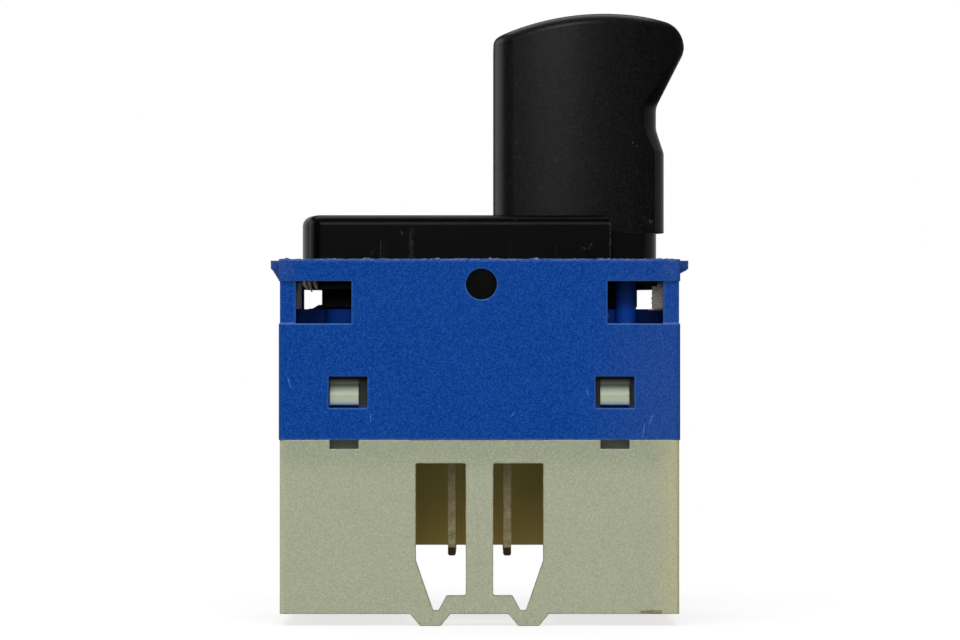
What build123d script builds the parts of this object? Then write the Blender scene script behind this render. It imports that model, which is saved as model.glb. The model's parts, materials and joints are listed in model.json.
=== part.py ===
from build123d import *
from math import atan2, cos, radians, sin, sqrt, tan
import os

# Power window switch of a car: a rocker with a tall finger knob, tilting in a moulded frame that is
# latched onto a base with a connector socket. Two spring plungers in the rocker tip two contact
# seesaws, which reverse the window motor.
#
# Frame of the part: X runs along the switch, towards the knob; Y across it, along the pivot; Z up.
# The origin is under the middle of the housing, level with the feet of the socket. Millimetres.

# ---- housing: base and frame meet at the parting line ----
HOUSING_WIDTH = 22.0
BASE_LENGTH = 40.0
FRAME_LENGTH = 40.2
FOOT_DROP = 1.2  # the feet under the socket reach this far below the base's edge
BASE_HEIGHT = 17.4  # base edge to parting line
FRAME_HEIGHT = 18.1  # parting line to top rim
BASE_WALL = 1.6
FRAME_WALL = 1.5
HOUSING_CORNER_R = 0.5

# ---- frame ----
PIVOT_X = 0.2  # pivot, latches and contacts stand this far towards the knob
PIVOT_DROP = 2.5  # top rim to pivot axis
PIVOT_HOLE_R = 1.55
LEDGE_DROP = 5.0  # top rim to the ledge that rings the inside
LEDGE_THICKNESS = 1.7
WINDOW_X = 15.6  # middle of each corner window
WINDOW_LENGTH = 5.6
WINDOW_HEIGHT = 4.25
WINDOW_DROP = 2.2  # top rim to window
WINDOW_BELT_DEPTH = 0.25  # the corners stand back this far beside the windows
WINDOW_END_DEPTH = 0.12  # and the end faces this far
SHOULDER_X = 15.6  # the ledge's shoulders behind the windows end here
SHOULDER_INSET = 1.2  # inside of the wall to the shoulder's flank
SHOULDER_R = 2.0
POCKET_DEPTH = 3.3  # inside of the wall to the back of the clip pockets
PILLAR_R = 1.05
PILLAR_X = 14.7
PILLAR_INSET = 0.9  # inside of the wall to the pillar's middle
LATCH_X = 13.35
LATCH_RISE = 3.2  # parting line to latch window
LATCH_LENGTH = 3.9
LATCH_HEIGHT = 3.15
LIP_REACH = 1.0
LIP_THICKNESS = 1.0
LIP_DROP = 0.1  # top rim to lip
LIP_WIDTH = 13.0
LIP_BEVEL = 0.2
LIP_GUSSET_KNOB_END = 0.4
LIP_GUSSET_FAR_END = 1.25

# ---- base ----
TOWER_GAP = 0.1  # base tower to the inside of the frame
TOWER_HEADROOM = 0.3  # base tower to the underside of the ledge
TOWER_WALL = 1.5
SOCKET_LENGTH = 14.0
SOCKET_WALL = 1.4
SOCKET_DEPTH = 15.6  # base edge to the contact floor
FLOOR_THICKNESS = 2.0
POCKET_RIB = 1.2  # rib along the middle of each side pocket
POST_WIDTH = 2.75  # post between the two socket windows
SOCKET_WINDOW_LENGTH = 5.0
SOCKET_WINDOW_RISE = 15.05  # base edge to window top
SLANT_RISE = 5.3  # base edge to the start of the slanted side
STRAP_RISE = 1.8  # base edge to the top of the strap
GROOVE_RISE = 0.3  # base edge to the groove's bottom
GROOVE_INNER = 4.1
GROOVE_OUTER = 4.65
STRAP_END = 3.3
CORNER_R = 0.2  # corners of the windows and feet
FAR_NOTCH_RISE = 5.85  # base edge to the notch in the far wall
FOOT_X = 4.92
FOOT_LENGTH = 2.05
FOOT_FLARE = 1.0
HOOK_X = 13.55
HOOK_LENGTH = 2.9
HOOK_HEIGHT = 2.1
HOOK_REACH = 1.2
HOOK_RISE = 3.5  # parting line to the hook's underside
HOOK_NOTCH = 0.9

# ---- rocker ----
ROCKER_END_GAP = 0.5  # the middle of each bowed end to the inside of the frame
ROCKER_BOW_R = 37.5  # the far end bows outward
ROCKER_TOP_RISE = 4.45  # top rim to rocker top
ROCKER_SKIRT_DROP = 3.0  # top rim to the skirt's lower edge
ROCKER_SIDE_GAP = 0.3  # skirt to the inside of the frame
ROCKER_WALL = 1.2
ROCKER_END_WALL = 1.65  # at the middle of the bowed ends
ROCKER_PLATE = 1.5
ROCKER_TOP_R = 1.0
ROCKER_END_R = 1.4
WIDE_END_X = 13.2  # the wide skirt ends here, short of the frame's pillars
NECK_WIDTH = 14.4
NECK_BOW_R = 18.8  # the neck's end bows outward
TRUNNION_CLEARANCE = 0.05
TRUNNION_RECESS = 0.4  # trunnion end below the frame's face
LEG_X = 16.0  # the hollow stop legs under the plate end here
LEG_LENGTH = 3.5
LEG_WIDTH = 8.6
LEG_DROP = 4.8  # top rim to the legs' lower edge
LEDGE_CLEARANCE = 0.5
STEM_SLOT_LENGTH = 10.0  # the ledge's opening round the stem
STEM_LENGTH = 6.0
STEM_DROP = 8.2  # pivot axis to the stem's end
STEM_WALL = 1.0
SPINE_THICKNESS = 1.2

# ---- knob ----
KNOB_SEAT = 1.65  # the knob stands this deep in the rocker's top
KNOB_HEIGHT = 22.05
KNOB_BACK_X = 1.4
KNOB_FRONT_X = 18.88
KNOB_HALF_WIDTH = 7.75
KNOB_SIDE_X = 9.0  # the barrel-shaped sides are widest here
KNOB_SIDE_R = 30.0
KNOB_BACK_R = 2.5
KNOB_CORE_R = 0.3
KNOB_WALL = 1.4
KNOB_FIT = 0.1
KNOB_BOSS = 3.0
KNOB_EDGE_R = 1.0
CROWN_X = 12.85
CROWN_R = 27.5
NOSE_X = 20.87
NOSE_R = 2.6
NOSE_MARGIN = 0.3  # the round front would reach this far past the nose
BOW_X = 2.8  # the front and the scoop bow round an upright axis here
BOW_STEP = 0.05  # the bowed underside cuts this far into the round nose
UNDERCUT = 27.0  # degrees, the nose's underside from upright
SCOOP_X = 18.08
SCOOP_FOOT_DIP = 11.5  # crown to the foot of the scoop
SCOOP_END_DIP = 13.9  # crown to the upright front
SCOOP_R = 2.2
FRONT_EDGE = 0.2

# ---- contacts ----
ROW_Y = 4.4  # plungers and seesaws, each side of the middle
PLUNGER_R = 1.65
PLUNGER_CLEARANCE = 0.05
PLUNGER_LENGTH = 4.6
PLUNGER_TIP_R = 0.9
PLUNGER_NOSE_R = 0.2  # the tip's blunt end
PLUNGER_NOSE_LENGTH = 0.6
PLUNGER_TIP_LENGTH = 2.0
PLUNGER_HOLE_R = 1.25
PLUNGER_FLOOR = 1.2
BORE_DEPTH = 10.0
TIP_GAP = 0.05
SPRING_WIRE = 0.34  # square wire
SPRING_GAP = 0.1
SPRING_TURNS = 3
SEESAW_HALF_LENGTH = 7.2
SEESAW_WIDTH = 3.5
SEESAW_THICKNESS = 0.8
SEESAW_SLOPE = 5.0  # degrees, each wing
CHEEK_LENGTH = 2.4
CHEEK_THICKNESS = 0.5
CHEEK_DEPTH = 1.2
FULCRUM_HEIGHT = 3.8
FULCRUM_GAP = 0.05
CHEEK_GAP = 0.1
CONTACT_ARM = 6.0
CONTACT_HALF = 0.9  # half the side of the square pads
CONTACT_HEIGHT = 0.4
CONTACT_GAP = 0.45
FIXED_CONTACT_HALF = 1.1
FIXED_CONTACT_HEIGHT = 0.35
TERMINAL_THICKNESS = 0.8
TERMINAL_WIDTH = 2.8
TERMINAL_ROW_X = 2.8
TERMINAL_TIP_RISE = 5.55  # base edge to terminal tips
TERMINAL_TIP_CHAMFER = 0.15
TERMINAL_FIT = 0.05
TERMINAL_BEND_R = 1.0
TERMINAL_MARGIN = 0.2  # a fixed terminal's end past its contact
COMMON_ARM_WIDTH = 0.9
KNIFE_R = 0.35

# ---- levels and half sizes that follow ----
EDGE_Z = FOOT_DROP
PARTING_Z = EDGE_Z + BASE_HEIGHT
RIM_Z = PARTING_Z + FRAME_HEIGHT
PIVOT_Z = RIM_Z - PIVOT_DROP
LEDGE_TOP_Z = RIM_Z - LEDGE_DROP
LEDGE_Z = LEDGE_TOP_Z - LEDGE_THICKNESS
FLOOR_Z = EDGE_Z + SOCKET_DEPTH
FLOOR_TOP_Z = FLOOR_Z + FLOOR_THICKNESS
ROCKER_TOP_Z = RIM_Z + ROCKER_TOP_RISE
SKIRT_Z = RIM_Z - ROCKER_SKIRT_DROP
KNOB_Z = ROCKER_TOP_Z - KNOB_SEAT
CROWN_Z = KNOB_Z + KNOB_HEIGHT
HALF_WIDTH = HOUSING_WIDTH / 2
FRAME_HALF = FRAME_LENGTH / 2
FRAME_INSIDE_X = FRAME_HALF - FRAME_WALL
ROCKER_HALF_LENGTH = FRAME_INSIDE_X - ROCKER_END_GAP
FRAME_INSIDE_Y = HALF_WIDTH - FRAME_WALL
TOWER_X = FRAME_INSIDE_X - TOWER_GAP
TOWER_Y = FRAME_INSIDE_Y - TOWER_GAP
SOCKET_X = SOCKET_LENGTH / 2
SOCKET_Y = HALF_WIDTH - BASE_WALL
ROCKER_Y = FRAME_INSIDE_Y - ROCKER_SIDE_GAP
BORE_R = PLUNGER_R + PLUNGER_CLEARANCE
STEM_Y = ROW_Y + BORE_R + STEM_WALL
STEM_Z = PIVOT_Z - STEM_DROP
SEESAW_Z = FLOOR_TOP_Z + FULCRUM_HEIGHT + FULCRUM_GAP
TIP_Z = SEESAW_Z + SEESAW_THICKNESS + TIP_GAP
PLUNGER_Z = TIP_Z + PLUNGER_TIP_R + PLUNGER_TIP_LENGTH
SPRING_Z = PLUNGER_Z + PLUNGER_FLOOR
BORE_TOP_Z = STEM_Z + BORE_DEPTH
CONTACT_Z = SEESAW_Z + CONTACT_ARM * tan(radians(SEESAW_SLOPE)) - CONTACT_HEIGHT
FIXED_CONTACT_Z = CONTACT_Z - CONTACT_HALF * sin(radians(SEESAW_SLOPE)) - CONTACT_GAP - FIXED_CONTACT_HEIGHT
ROWS = {"front": -ROW_Y, "rear": ROW_Y}


def slab(x0, x1, y0, y1, z0, z1):
    """A box between two opposite corners."""
    return Pos((x0 + x1) / 2, (y0 + y1) / 2, (z0 + z1) / 2) * Box(abs(x1 - x0), abs(y1 - y0), abs(z1 - z0))


def centred_slab(half_x, half_y, z0, z1):
    """A box centred on the Z axis."""
    return slab(-half_x, half_x, -half_y, half_y, z0, z1)


def side_prism(points, y0, y1):
    """An outline in X and Z, drawn out from y0 to y1."""
    outline = Plane.XZ.offset(-y0) * make_face(Polyline(*points, close=True))
    return extrude(outline, amount=y0 - y1)


def upright_round(x, radius, z0, z1):
    """An upright cylinder round (x, 0), for ends and walls that bow outward."""
    return Pos(x, 0, (z0 + z1) / 2) * Cylinder(radius, z1 - z0)


def upright_edges(solid):
    return solid.edges().filter_by(Axis.Z)


# ---------------------------------------------------------------- frame
def ledge_plan():
    """The ledge in plan: set back behind the corner windows, open in the middle for the rocker."""
    plan = Rectangle(2 * FRAME_INSIDE_X, 2 * FRAME_INSIDE_Y)
    window_inner_x = WINDOW_X - WINDOW_LENGTH / 2
    shoulder_y = FRAME_INSIDE_Y - SHOULDER_INSET
    for side in (-1, 1):
        for end in (-1, 1):
            pocket = Pos(
                end * (window_inner_x + FRAME_INSIDE_X) / 2, side * (FRAME_INSIDE_Y - POCKET_DEPTH / 2)
            ) * Rectangle(FRAME_INSIDE_X - window_inner_x, POCKET_DEPTH)
            shoulder = Pos(end * SHOULDER_X / 2, side * shoulder_y / 2) * RectangleRounded(
                SHOULDER_X, shoulder_y, SHOULDER_R
            )
            plan -= pocket - shoulder
    plan -= Rectangle(2 * (LEG_X + LEDGE_CLEARANCE), LEG_WIDTH + 2 * LEDGE_CLEARANCE)
    plan -= Pos(PIVOT_X, 0) * Rectangle(STEM_SLOT_LENGTH, 2 * (STEM_Y + LEDGE_CLEARANCE))
    return plan


def make_lip(end, gusset):
    """The catch lip across one end of the frame, with a slanted underside."""
    top = RIM_Z - LIP_DROP
    foot = top - LIP_THICKNESS
    tip = FRAME_HALF + LIP_REACH
    points = [
        (end * (FRAME_HALF - FRAME_WALL / 2), top),
        (end * tip, top),
        (end * tip, foot + LIP_BEVEL),
        (end * (tip - LIP_BEVEL), foot),
        (end * FRAME_HALF, foot - gusset),
        (end * (FRAME_HALF - FRAME_WALL / 2), foot - gusset),
    ]
    return side_prism(points, -LIP_WIDTH / 2, LIP_WIDTH / 2)


def make_frame():
    """The upper housing: an open box with a ledge, corner windows, latch windows and pivot holes."""
    body = centred_slab(FRAME_HALF, HALF_WIDTH, PARTING_Z, RIM_Z)
    body = fillet(upright_edges(body), HOUSING_CORNER_R)
    body -= centred_slab(FRAME_INSIDE_X, FRAME_INSIDE_Y, PARTING_Z - 1, RIM_Z + 1)
    body += Pos(0, 0, LEDGE_Z) * extrude(ledge_plan(), amount=LEDGE_THICKNESS)
    window_top = RIM_Z - WINDOW_DROP
    window_foot = window_top - WINDOW_HEIGHT
    belt_x = WINDOW_X + WINDOW_LENGTH / 2
    for end in (-1, 1):
        body -= Pos(end * WINDOW_X, 0, (window_top + window_foot) / 2) * (
            Box(WINDOW_LENGTH, HOUSING_WIDTH + 2, WINDOW_HEIGHT)
            - Box(WINDOW_LENGTH + 1, 2 * FRAME_INSIDE_Y, WINDOW_HEIGHT + 1)
        )
        body -= slab(
            end * (FRAME_HALF - WINDOW_END_DEPTH), end * (FRAME_HALF + 1), -HALF_WIDTH, HALF_WIDTH,
            window_foot, window_top,
        )
        for side in (-1, 1):
            body -= slab(
                end * belt_x, end * (FRAME_HALF + 1),
                side * (HALF_WIDTH - WINDOW_BELT_DEPTH), side * (HALF_WIDTH + 1),
                window_foot, window_top,
            )
        latch_x = PIVOT_X + end * LATCH_X
        body -= Pos(latch_x, 0, PARTING_Z + LATCH_RISE + LATCH_HEIGHT / 2) * Box(
            LATCH_LENGTH, HOUSING_WIDTH + 2, LATCH_HEIGHT
        )
    for side in (-1, 1):
        body += Pos(PILLAR_X, side * (FRAME_INSIDE_Y - PILLAR_INSET), LEDGE_Z) * Cylinder(
            PILLAR_R, RIM_Z - LEDGE_Z, align=(Align.CENTER, Align.CENTER, Align.MIN)
        )
    body += make_lip(1, LIP_GUSSET_KNOB_END)
    body += make_lip(-1, LIP_GUSSET_FAR_END)
    body -= Pos(PIVOT_X, 0, PIVOT_Z) * Rot(90, 0, 0) * Cylinder(PIVOT_HOLE_R, HOUSING_WIDTH + 2)
    return body


# ---------------------------------------------------------------- base
def socket_window(end):
    """One window in the socket's near wall: slanted outer side, and a groove beside the strap."""
    inner = POST_WIDTH / 2
    outer = inner + SOCKET_WINDOW_LENGTH
    points = [
        (inner, SOCKET_WINDOW_RISE),
        (outer, SOCKET_WINDOW_RISE),
        (outer, SLANT_RISE),
        (GROOVE_OUTER, GROOVE_RISE),
        (GROOVE_INNER, GROOVE_RISE),
        (STRAP_END, STRAP_RISE),
        (inner, STRAP_RISE),
    ]
    placed = [(end * x, EDGE_Z + z) for x, z in points]
    opening = side_prism(placed, -HALF_WIDTH - 1, 1 - SOCKET_Y)
    return fillet(opening.edges().filter_by(Axis.Y), CORNER_R)


def make_foot(end):
    """A foot under the socket's near wall, flared up to the base's edge."""
    inner = FOOT_X - FOOT_LENGTH / 2
    outer = FOOT_X + FOOT_LENGTH / 2
    points = [
        (end * (inner - FOOT_FLARE), EDGE_Z),
        (end * inner, EDGE_Z - FOOT_DROP),
        (end * outer, EDGE_Z - FOOT_DROP),
        (end * (outer + FOOT_FLARE), EDGE_Z),
    ]
    foot = side_prism(points, -HALF_WIDTH, -SOCKET_Y)
    return fillet(foot.edges().filter_by(Axis.Y).group_by(Axis.Z)[0], CORNER_R)


def make_hook(end, side):
    """A snap hook on the base tower: slanted on top, flat below."""
    foot = PARTING_Z + HOOK_RISE
    root = side * (TOWER_Y - TOWER_WALL / 2)
    tip = side * (TOWER_Y + HOOK_REACH)
    profile = Plane.YZ * make_face(
        Polyline(
            (root, foot), (tip, foot), (tip, foot + HOOK_HEIGHT / 2), (side * TOWER_Y, foot + HOOK_HEIGHT),
            (root, foot + HOOK_HEIGHT), close=True,
        )
    )
    return Pos(end * HOOK_X, 0, 0) * extrude(profile, amount=HOOK_LENGTH / 2, both=True)


def make_base():
    """The lower housing: socket, side pockets, contact floor, and the tower that the frame covers."""
    half_length = BASE_LENGTH / 2
    slot_x = TERMINAL_THICKNESS / 2 + TERMINAL_FIT
    slot_y = TERMINAL_WIDTH / 2 + TERMINAL_FIT
    body = centred_slab(half_length, HALF_WIDTH, EDGE_Z, PARTING_Z)
    body = fillet(upright_edges(body), HOUSING_CORNER_R)
    body += centred_slab(TOWER_X, TOWER_Y, FLOOR_Z, LEDGE_Z - TOWER_HEADROOM)
    body -= centred_slab(TOWER_X - TOWER_WALL, TOWER_Y - TOWER_WALL, FLOOR_TOP_Z, LEDGE_Z + 1)
    body -= centred_slab(SOCKET_X, SOCKET_Y, EDGE_Z - 1, FLOOR_Z)
    body -= slab(-SOCKET_X, SOCKET_X, 0, HALF_WIDTH + 1, EDGE_Z - 1, EDGE_Z + FAR_NOTCH_RISE)
    for end in (-1, 1):
        for side in (-1, 1):
            body -= slab(
                end * (SOCKET_X + SOCKET_WALL), end * (half_length - BASE_WALL),
                side * POCKET_RIB / 2, side * SOCKET_Y, EDGE_Z - 1, FLOOR_Z,
            )
            body -= slab(
                end * HOOK_X - HOOK_LENGTH / 2, end * HOOK_X + HOOK_LENGTH / 2,
                side * TOWER_Y, side * (HALF_WIDTH + 1), PARTING_Z - HOOK_NOTCH, PARTING_Z,
            )
            body += make_hook(end, side)
        body -= socket_window(end)
        body += make_foot(end)
        for row in (-ROW_Y, 0, ROW_Y):
            slot = centred_slab(slot_x, slot_y, FLOOR_Z - 1, FLOOR_TOP_Z + 1)
            body -= Pos(end * TERMINAL_ROW_X, row, 0) * slot
    return body


# ---------------------------------------------------------------- rocker and knob
def knob_plan(inset):
    """The knob in plan, drawn in by inset: barrel sides, a round front tangent to them, a flat back."""
    front_x = NOSE_X + NOSE_MARGIN
    reach = front_x - KNOB_SIDE_X
    side_centre = KNOB_SIDE_R - KNOB_HALF_WIDTH
    front_r = (KNOB_SIDE_R**2 - side_centre**2 - reach**2) / (2 * (KNOB_SIDE_R - reach))
    lean = atan2(front_x - front_r - KNOB_SIDE_X, side_centre)
    side_r = KNOB_SIDE_R - inset
    back_x = KNOB_BACK_X + inset
    meet = (KNOB_SIDE_X + side_r * sin(lean), side_r * cos(lean) - side_centre)
    back = (back_x, sqrt(side_r**2 - (KNOB_SIDE_X - back_x) ** 2) - side_centre)
    plan = make_face(
        [
            ThreePointArc((meet[0], -meet[1]), (front_x - inset, 0), meet),
            ThreePointArc(meet, (KNOB_SIDE_X, KNOB_HALF_WIDTH - inset), back),
            Line(back, (back_x, -back[1])),
            ThreePointArc((back_x, -back[1]), (KNOB_SIDE_X, inset - KNOB_HALF_WIDTH), (meet[0], -meet[1])),
        ]
    )
    corners = plan.vertices().group_by(Axis.X)[0]
    return fillet(corners, max(KNOB_BACK_R - inset, KNOB_CORE_R))


def knob_side():
    """The knob's side outline from above: a crown arc and the nose, tangent inside it."""
    crown_centre_z = CROWN_Z - CROWN_R
    nose_x = NOSE_X - NOSE_R
    nose_z = crown_centre_z + sqrt((CROWN_R - NOSE_R) ** 2 - (nose_x - CROWN_X) ** 2)
    meet = atan2(nose_z - crown_centre_z, nose_x - CROWN_X) / 2
    nose_start = (nose_x + NOSE_R * cos(2 * meet), nose_z + NOSE_R * sin(2 * meet))
    nose_middle = (nose_x + NOSE_R * cos(meet), nose_z + NOSE_R * sin(meet))
    back_x = KNOB_BACK_X - 1
    back_top = (back_x, crown_centre_z + sqrt(CROWN_R**2 - (back_x - CROWN_X) ** 2))
    side = make_face(
        [
            Line((back_x, KNOB_Z), back_top),
            ThreePointArc(back_top, (CROWN_X, CROWN_Z), nose_start),
            ThreePointArc(nose_start, nose_middle, (NOSE_X, nose_z)),
            Polyline((NOSE_X, nose_z), (NOSE_X, KNOB_Z), (back_x, KNOB_Z)),
        ]
    )
    return Plane.XZ * side, (nose_x, nose_z)


def knob_front(nose_x, nose_z):
    """Everything behind the knob's bowed front, from the foot up past the scoop and the nose."""
    lean = radians(UNDERCUT)
    top_z = CROWN_Z + 1
    under_x = nose_x + (NOSE_R - BOW_STEP) / cos(lean)
    scoop_foot = (SCOOP_X, CROWN_Z - SCOOP_FOOT_DIP)
    scoop_end = (KNOB_FRONT_X, CROWN_Z - SCOOP_END_DIP)
    scoop_top = (SCOOP_X, nose_z - (under_x - SCOOP_X) / tan(lean))
    top = (under_x + (top_z - nose_z) * tan(lean), top_z)
    side = make_face(
        Polyline(
            (BOW_X, KNOB_Z - 1), (KNOB_FRONT_X, KNOB_Z - 1), scoop_end, scoop_foot, scoop_top, top,
            (BOW_X, top_z), close=True,
        )
    )
    for corner, radius in ((scoop_top, SCOOP_R), (scoop_foot, SCOOP_R), (scoop_end, SCOOP_R / 2)):
        side = fillet(side.vertices().sort_by_distance((*corner, 0))[0], radius)
    return revolve(Plane.XZ * side, Axis((BOW_X, 0, 0), (0, 0, 1)))


def make_knob():
    """The finger knob: plan and side outlines crossed, front bowed, cored out straight from below."""
    side, nose = knob_side()
    body = Pos(0, 0, KNOB_Z) * extrude(knob_plan(0), amount=KNOB_HEIGHT + 1)
    body &= extrude(side, amount=HALF_WIDTH, both=True)
    rim = body.edges().sort_by_distance((CROWN_X, -KNOB_HALF_WIDTH, CROWN_Z))[0]
    body = fillet(rim, KNOB_EDGE_R)
    body &= knob_front(*nose)
    front_edges = [
        edge
        for edge in body.edges()
        if KNOB_Z + 1 < edge.center().Z < CROWN_Z - 4
        and edge.center().X > SCOOP_X - 2
        and abs(edge.center().Y) > 1
    ]
    body = chamfer(front_edges, FRONT_EDGE)
    back_dip = CROWN_R - sqrt(CROWN_R**2 - (CROWN_X - KNOB_BACK_X) ** 2)
    core = Pos(0, 0, KNOB_Z - 1) * extrude(knob_plan(KNOB_WALL), amount=KNOB_HEIGHT - back_dip - KNOB_WALL)
    core &= upright_round(BOW_X, SCOOP_X - BOW_X - KNOB_WALL, KNOB_Z - 1, CROWN_Z)
    return body - core


def knob_boss():
    """The ring on the rocker's plate that locates the knob from inside."""
    inset = KNOB_WALL + KNOB_FIT
    bow_r = SCOOP_X - BOW_X - inset
    ring = extrude(knob_plan(inset), amount=KNOB_BOSS) & upright_round(BOW_X, bow_r, 0, KNOB_BOSS)
    hole = extrude(knob_plan(inset + ROCKER_WALL), amount=KNOB_BOSS)
    hole &= upright_round(BOW_X, bow_r - ROCKER_WALL, 0, KNOB_BOSS)
    return Pos(0, 0, KNOB_Z) * (ring - hole)


def make_leg(end, top):
    """A hollow stop leg under one end of the rocker's plate, open below."""
    foot = RIM_Z - LEG_DROP
    root = LEG_X - LEG_LENGTH
    half_w = LEG_WIDTH / 2
    leg = slab(end * root, end * LEG_X, -half_w, half_w, foot, top)
    return leg - slab(
        end * (root + ROCKER_WALL), end * (LEG_X - ROCKER_WALL),
        ROCKER_WALL - half_w, half_w - ROCKER_WALL, foot - 1, top - ROCKER_PLATE / 2,
    )


def rocker_hollow():
    """The space under the rocker's plate: shallower under the knob's seat, narrower in the neck."""
    wide_y = ROCKER_Y - ROCKER_WALL
    neck_y = NECK_WIDTH / 2 - ROCKER_WALL
    end_x = ROCKER_HALF_LENGTH - ROCKER_END_WALL
    seat_x = KNOB_BACK_X - ROCKER_WALL
    seat_z = KNOB_Z - ROCKER_PLATE
    hollow = slab(-end_x, seat_x, -wide_y, wide_y, SKIRT_Z - 1, ROCKER_TOP_Z - ROCKER_PLATE)
    hollow += slab(-end_x, WIDE_END_X - ROCKER_WALL, -wide_y, wide_y, SKIRT_Z - 1, seat_z)
    return hollow + slab(-end_x, end_x, -neck_y, neck_y, SKIRT_Z - 1, seat_z)


def make_rocker():
    """The rocker: wide skirt, neck under the knob, stop legs, trunnions, and a stem with two bores."""
    wide = slab(-ROCKER_HALF_LENGTH, WIDE_END_X, -ROCKER_Y, ROCKER_Y, SKIRT_Z, ROCKER_TOP_Z)
    wide &= upright_round(ROCKER_BOW_R - ROCKER_HALF_LENGTH, ROCKER_BOW_R, SKIRT_Z, ROCKER_TOP_Z)
    wide = fillet(upright_edges(wide).group_by(Axis.X)[0], ROCKER_END_R)
    wide = fillet(wide.faces().sort_by(Axis.Z)[-1].edges(), ROCKER_TOP_R)
    neck = slab(0, ROCKER_HALF_LENGTH, -NECK_WIDTH / 2, NECK_WIDTH / 2, SKIRT_Z, KNOB_Z)
    neck &= upright_round(ROCKER_HALF_LENGTH - NECK_BOW_R, NECK_BOW_R, SKIRT_Z, KNOB_Z)
    body = wide + neck
    body -= Pos(0, 0, KNOB_Z) * extrude(knob_plan(-KNOB_FIT), amount=KNOB_SEAT + 1)
    body -= rocker_hollow()
    body += knob_boss()
    plate_z = ROCKER_TOP_Z - ROCKER_PLATE / 2
    seat_plate_z = KNOB_Z - ROCKER_PLATE / 2
    spine_y = SPINE_THICKNESS / 2
    leg_root = LEG_X - LEG_LENGTH
    body += make_leg(-1, plate_z)
    body += make_leg(1, seat_plate_z)
    body += slab(-leg_root, PIVOT_X, -spine_y, spine_y, PIVOT_Z, plate_z)
    body += slab(PIVOT_X, leg_root, -spine_y, spine_y, PIVOT_Z, seat_plate_z)
    body += slab(
        PIVOT_X - STEM_LENGTH / 2, PIVOT_X + STEM_LENGTH / 2, -STEM_Y, STEM_Y, STEM_Z, seat_plate_z
    )
    trunnion_root = ROCKER_Y - ROCKER_WALL
    trunnion_length = HALF_WIDTH - TRUNNION_RECESS - trunnion_root
    trunnion = Rot(90, 0, 0) * Cylinder(PIVOT_HOLE_R - TRUNNION_CLEARANCE, trunnion_length)
    for side in (-1, 1):
        body += Pos(PIVOT_X, side * (trunnion_root + trunnion_length / 2), PIVOT_Z) * trunnion
        body -= Pos(PIVOT_X, side * ROW_Y, STEM_Z) * Cylinder(
            BORE_R, BORE_DEPTH, align=(Align.CENTER, Align.CENTER, Align.MIN)
        )
    return body


# ---------------------------------------------------------------- plungers, springs and contacts
def make_plunger(row_y):
    """A plunger: tapered tip, body that slides in the rocker's bore, blind hole for the spring."""
    upright = (Align.CENTER, Align.CENTER, Align.MIN)
    nose = Cone(PLUNGER_NOSE_R, PLUNGER_TIP_R, PLUNGER_NOSE_LENGTH, align=upright)
    stem_z = TIP_Z + PLUNGER_NOSE_LENGTH
    body = Pos(0, 0, TIP_Z) * nose
    body += Pos(0, 0, stem_z) * Cylinder(PLUNGER_TIP_R, PLUNGER_Z - stem_z, align=upright)
    body += Pos(0, 0, PLUNGER_Z) * Cylinder(PLUNGER_R, PLUNGER_LENGTH, align=upright)
    body -= Pos(0, 0, SPRING_Z) * Cylinder(PLUNGER_HOLE_R, PLUNGER_LENGTH, align=upright)
    return Pos(PIVOT_X, row_y, 0) * body


def make_spring(row_y):
    """The helical spring between the plunger's blind hole and the end of the bore."""
    coil_r = PLUNGER_HOLE_R - SPRING_GAP - SPRING_WIRE / 2
    seat = SPRING_WIRE / 2 + SPRING_GAP
    height = BORE_TOP_Z - SPRING_Z - 2 * seat
    path = Helix(pitch=height / SPRING_TURNS, height=height, radius=coil_r)
    section = Plane(path @ 0, z_dir=path % 0) * Rectangle(SPRING_WIRE, SPRING_WIRE)
    wire = sweep(section, path=path, is_frenet=True)
    return Pos(PIVOT_X, row_y, SPRING_Z + seat) * wire


def make_seesaw(row_y):
    """A contact seesaw: a shallow V of strip with two cheeks that straddle the fulcrum."""
    rise = SEESAW_HALF_LENGTH * tan(radians(SEESAW_SLOPE))
    strip = side_prism(
        [
            (-SEESAW_HALF_LENGTH, rise),
            (0, 0),
            (SEESAW_HALF_LENGTH, rise),
            (SEESAW_HALF_LENGTH, rise + SEESAW_THICKNESS),
            (0, SEESAW_THICKNESS),
            (-SEESAW_HALF_LENGTH, rise + SEESAW_THICKNESS),
        ],
        -SEESAW_WIDTH / 2,
        SEESAW_WIDTH / 2,
    )
    cheek_x = CHEEK_LENGTH / 2
    outer_y = SEESAW_WIDTH / 2
    inner_y = outer_y - CHEEK_THICKNESS
    for side in (-1, 1):
        strip += slab(
            -cheek_x, cheek_x, side * inner_y, side * outer_y, -CHEEK_DEPTH, SEESAW_THICKNESS / 2
        )
    return Pos(PIVOT_X, row_y, SEESAW_Z) * strip


def make_moving_contacts(row_y):
    """The two contact pads under a seesaw's wings, square to each wing."""
    side = 2 * CONTACT_HALF
    pads = []
    for end in (-1, 1):
        root = (PIVOT_X + end * CONTACT_ARM, row_y, CONTACT_Z + CONTACT_HEIGHT)
        pad = Box(side, side, CONTACT_HEIGHT, align=(Align.CENTER, Align.CENTER, Align.MAX))
        pads.append(Pos(*root) * Rot(0, -end * SEESAW_SLOPE, 0) * pad)
    return Compound(children=pads)


def make_blade(x, y, top):
    """A terminal blade with a chamfered tip, standing in the socket."""
    tip = EDGE_Z + TERMINAL_TIP_RISE
    half_t = TERMINAL_THICKNESS / 2
    half_w = TERMINAL_WIDTH / 2
    blade = slab(x - half_t, x + half_t, y - half_w, y + half_w, tip, top)
    return chamfer(blade.faces().sort_by(Axis.Z)[0].edges(), TERMINAL_TIP_CHAMFER)


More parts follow.
